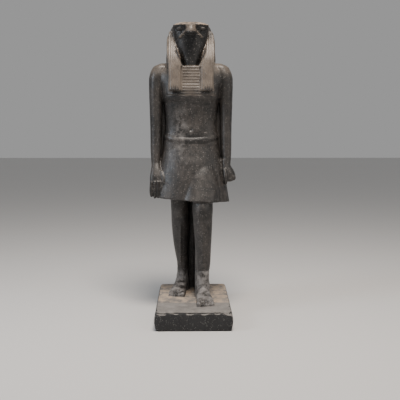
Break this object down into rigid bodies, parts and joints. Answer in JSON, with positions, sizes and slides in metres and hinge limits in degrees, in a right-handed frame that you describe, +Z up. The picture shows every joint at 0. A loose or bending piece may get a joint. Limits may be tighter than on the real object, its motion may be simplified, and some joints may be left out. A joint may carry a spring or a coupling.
{
  "type": "falcon-headed god statue",
  "caption": "Striding falcon-headed god in a long wig, broad collar and kilt, one dark stone with its plinth and back pillar.",
  "frame": {"origin": "middle of the plinth's underside", "axes": "+Z up, the figure looks along -Y, its left is +X"},
  "size_m": [0.5122, 0.7098, 1.705],
  "materials": {
    "dark_stone": "polished granodiorite, worn in places"
  },
  "bodies": {
    "root": {"falcon_god_statue": "dark_stone"}
  },
  "joints": []
}
